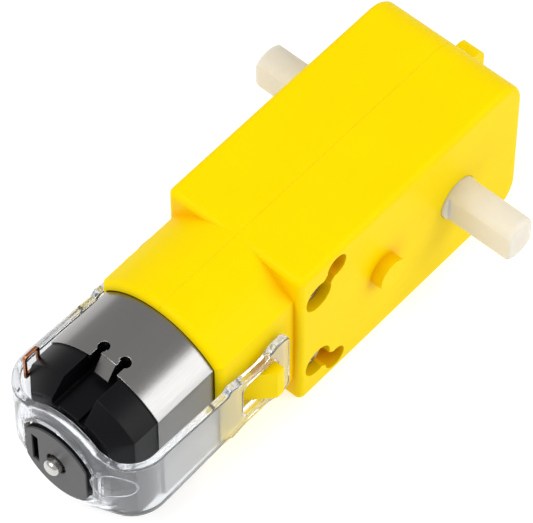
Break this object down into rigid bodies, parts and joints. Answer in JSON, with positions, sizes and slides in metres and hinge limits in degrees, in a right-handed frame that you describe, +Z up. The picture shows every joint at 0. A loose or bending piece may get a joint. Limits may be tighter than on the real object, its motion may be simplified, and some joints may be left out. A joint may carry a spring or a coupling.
{
  "type": "geared dc motor",
  "caption": "Small right-angle geared DC motor with a split moulded gearcase, a flatted output shaft on both sides and a clear strap that holds the round motor in its neck.",
  "frame": {"origin": "on the output shaft's axis, midway between its two ends", "axes": "+X from the motor towards the front mounting tab, Y along the output shaft, +Z up; the side with the screws faces -Y"},
  "size_m": [0.0715, 0.0368, 0.0226],
  "materials": {
    "yellow_plastic": "satin moulded, fine grain",
    "nylon_white": "milky satin",
    "gear_white": "satin",
    "zinc_screw": "zinc plated",
    "pin_steel": "ground",
    "can_steel": "brushed, plated",
    "lamination_steel": "stamped",
    "copper": "bright copper",
    "bronze": "sintered, oiled",
    "brass": "turned",
    "black_plastic": "moulded, half gloss",
    "ferrite": "matt ceramic",
    "clear_plastic": "clear, polished edges"
  },
  "bodies": {
    "gearcase": {"gearcase_screw_half": "yellow_plastic", "gearcase_tab_half": "yellow_plastic", "case_screws": "zinc_screw", "shaft_washers": "gear_white", "crown_axle": "pin_steel", "idler_axle": "pin_steel", "motor_can": "can_steel", "magnet_upper": "ferrite", "magnet_lower": "ferrite", "magnet_spring": "pin_steel", "front_bush": "bronze", "rear_bush": "bronze", "motor_end_cap": "black_plastic", "terminals": "copper", "brushes": "copper", "retaining_strap": "clear_plastic"},
    "output": {"output_shaft": "nylon_white", "output_gear": "gear_white"},
    "idler": {"idler_gear": "gear_white"},
    "crown": {"crown_gear": "gear_white"},
    "rotor": {"motor_pinion": "brass", "motor_shaft": "pin_steel", "armature_core": "lamination_steel", "armature_windings": "copper", "commutator_sleeve": "black_plastic", "commutator_segments": "copper"}
  },
  "joints": [
    {"name": "rotor_spin", "type": "hinge", "parent": "gearcase", "child": "rotor", "pos_m": [-0.03, 0, 0], "axis": [1, 0, 0], "continuous": true},
    {"name": "crown_spin", "type": "hinge", "parent": "gearcase", "child": "crown", "pos_m": [-0.0176, 0, 0], "axis": [0, 1, 0], "continuous": true},
    {"name": "idler_spin", "type": "hinge", "parent": "gearcase", "child": "idler", "pos_m": [-0.0098, 0, 0.003], "axis": [0, 1, 0], "continuous": true},
    {"name": "output_spin", "type": "hinge", "parent": "gearcase", "child": "output", "pos_m": [0, 0, 0], "axis": [0, 1, 0], "continuous": true}
  ],
  "couplings": [
    {"joint": "crown_spin", "follows": "rotor_spin", "ratio": -0.25},
    {"joint": "idler_spin", "follows": "rotor_spin", "ratio": 0.083333},
    {"joint": "output_spin", "follows": "rotor_spin", "ratio": -0.020833}
  ]
}
